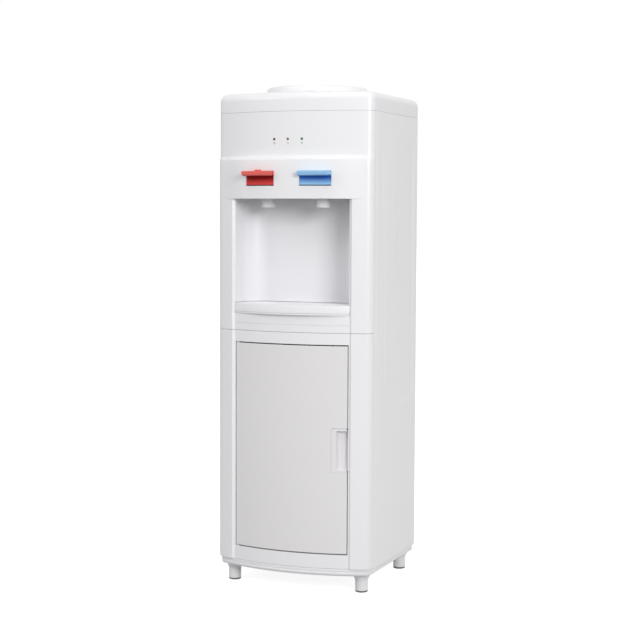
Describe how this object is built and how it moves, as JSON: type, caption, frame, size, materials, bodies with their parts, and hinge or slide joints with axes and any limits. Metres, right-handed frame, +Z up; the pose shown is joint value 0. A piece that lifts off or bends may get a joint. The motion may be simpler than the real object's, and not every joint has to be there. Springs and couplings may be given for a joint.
{
  "type": "water dispenser",
  "caption": "Floor-standing hot and cold water dispenser with press-lever taps over a drip tray, an open bottle collar on top and a storage cabinet behind a curved door.",
  "frame": {"origin": "on the floor under the middle of the object's bounding box", "axes": "+Z up, the taps and the door face -Y, the hot tap and the door's hinge lie at -X"},
  "size_m": [0.31, 0.32, 0.935],
  "materials": {
    "white_abs": "gloss white moulded plastic",
    "inner_abs": "satin white moulded plastic",
    "door_abs": "gloss light grey moulded plastic",
    "painted_sheet": "white powder coat with a fine texture",
    "zinc_sheet": "zinc-plated sheet steel",
    "black_tube": "satin black enamel",
    "black_shell": "gloss black enamel",
    "black_abs": "matt black moulded plastic",
    "black_magnet": "matt rubber-bonded magnet",
    "stainless": "drawn stainless steel",
    "copper": "drawn copper tube",
    "foam": "rigid expanded foam",
    "red_abs": "gloss red moulded plastic",
    "blue_abs": "gloss blue moulded plastic",
    "silicone": "satin silicone hose",
    "pad_rubber": "matt black rubber",
    "red_lens": "clear red lens",
    "yellow_lens": "clear yellow lens",
    "green_lens": "clear green lens",
    "green_switch": "gloss green moulded plastic",
    "circuit_board": "green circuit laminate"
  },
  "bodies": {
    "housing": {"base_tray": "white_abs", "lower_front_panel": "white_abs", "upper_front_panel": "white_abs", "top_cover": "white_abs", "side_panel_right": "painted_sheet", "side_panel_left": "painted_sheet", "rear_panel": "zinc_sheet", "cabinet_liner": "inner_abs", "door_hinge_pin_top": "stainless", "door_hinge_pin_bottom": "stainless", "door_magnet": "black_magnet", "recess_liner": "inner_abs", "hot_tap_body": "inner_abs", "cold_tap_body": "inner_abs", "lamp_hot": "red_lens", "lamp_power": "yellow_lens", "lamp_cold": "green_lens", "indicator_board": "circuit_board", "middle_deck": "zinc_sheet", "tank_shelf": "zinc_sheet", "cold_tank": "stainless", "cold_tank_jacket": "foam", "evaporator_coil": "copper", "bottle_collar": "white_abs", "water_guard": "inner_abs", "hot_tank": "stainless", "hot_tank_heater_band": "zinc_sheet", "cold_hose": "silicone", "hot_hose": "silicone", "feed_hose": "silicone", "drain_hose": "silicone", "drain_fitting": "inner_abs", "cord_gland": "black_abs", "switch_housing": "black_abs", "compressor": "black_shell", "compressor_relay_box": "black_abs", "condenser": "black_tube", "filter_dryer": "copper", "suction_line": "copper", "foot_front_left": "white_abs", "foot_pad_front_left": "pad_rubber", "foot_front_right": "white_abs", "foot_pad_front_right": "pad_rubber", "foot_rear_left": "white_abs", "foot_pad_rear_left": "pad_rubber", "foot_rear_right": "white_abs", "foot_pad_rear_right": "pad_rubber"},
    "door": {"door": "door_abs", "door_handle_insert": "white_abs", "door_catch_plate": "zinc_sheet"},
    "drip_tray": {"drip_tray": "white_abs"},
    "drip_grille": {"drip_grille": "inner_abs"},
    "hot_lever": {"hot_tap_lever": "red_abs"},
    "hot_lock": {"hot_child_lock": "red_abs"},
    "hot_stem": {"hot_valve_stem": "inner_abs"},
    "cold_lever": {"cold_tap_lever": "blue_abs"},
    "cold_stem": {"cold_valve_stem": "inner_abs"},
    "hot_rocker": {"hot_switch": "red_abs"},
    "cold_rocker": {"cold_switch": "green_switch"},
    "drain_cap": {"drain_cap": "black_abs"}
  },
  "joints": [
    {"name": "door_swing", "type": "hinge", "parent": "housing", "child": "door", "pos_m": [-0.1083, -0.1196, 0.266], "axis": [0, 0, -1], "range_deg": [0, 95]},
    {"name": "drip_tray_slide", "type": "slide", "parent": "housing", "child": "drip_tray", "axis": [0, -1, 0], "range_m": [0, 0.11]},
    {"name": "drip_grille_lift", "type": "slide", "parent": "drip_tray", "child": "drip_grille", "axis": [0, 0, 1], "range_m": [0, 0.05]},
    {"name": "hot_lever_press", "type": "hinge", "parent": "housing", "child": "hot_lever", "pos_m": [-0.055, -0.13, 0.781], "axis": [1, 0, 0], "range_deg": [0, 10], "stiffness_Nm_per_rad": 0.6, "springref_deg": -2.86},
    {"name": "cold_lever_press", "type": "hinge", "parent": "housing", "child": "cold_lever", "pos_m": [0.055, -0.13, 0.781], "axis": [1, 0, 0], "range_deg": [0, 10], "stiffness_Nm_per_rad": 0.6, "springref_deg": -2.86},
    {"name": "hot_stem_lift", "type": "slide", "parent": "housing", "child": "hot_stem", "axis": [0, 0, 1], "range_m": [0, 0.0047]},
    {"name": "cold_stem_lift", "type": "slide", "parent": "housing", "child": "cold_stem", "axis": [0, 0, 1], "range_m": [0, 0.0047]},
    {"name": "hot_lock_slide", "type": "slide", "parent": "hot_lever", "child": "hot_lock", "axis": [0, 1, 0], "range_m": [0, 0.003], "stiffness_N_per_m": 200, "springref_m": -0.0003},
    {"name": "hot_rocker_tip", "type": "hinge", "parent": "housing", "child": "hot_rocker", "pos_m": [0.013, 0.1363, 0.79], "axis": [1, 0, 0], "range_deg": [0, 10]},
    {"name": "cold_rocker_tip", "type": "hinge", "parent": "housing", "child": "cold_rocker", "pos_m": [-0.013, 0.1363, 0.79], "axis": [1, 0, 0], "range_deg": [0, 10]},
    {"name": "drain_cap_turn", "type": "hinge", "parent": "housing", "child": "drain_cap", "pos_m": [-0.07, 0.15, 0.262], "axis": [0, 1, 0], "continuous": true}
  ],
  "couplings": [
    {"joint": "hot_lever_press", "follows": "hot_stem_lift", "rad_per_m": 37.037},
    {"joint": "cold_lever_press", "follows": "cold_stem_lift", "rad_per_m": 37.037}
  ]
}
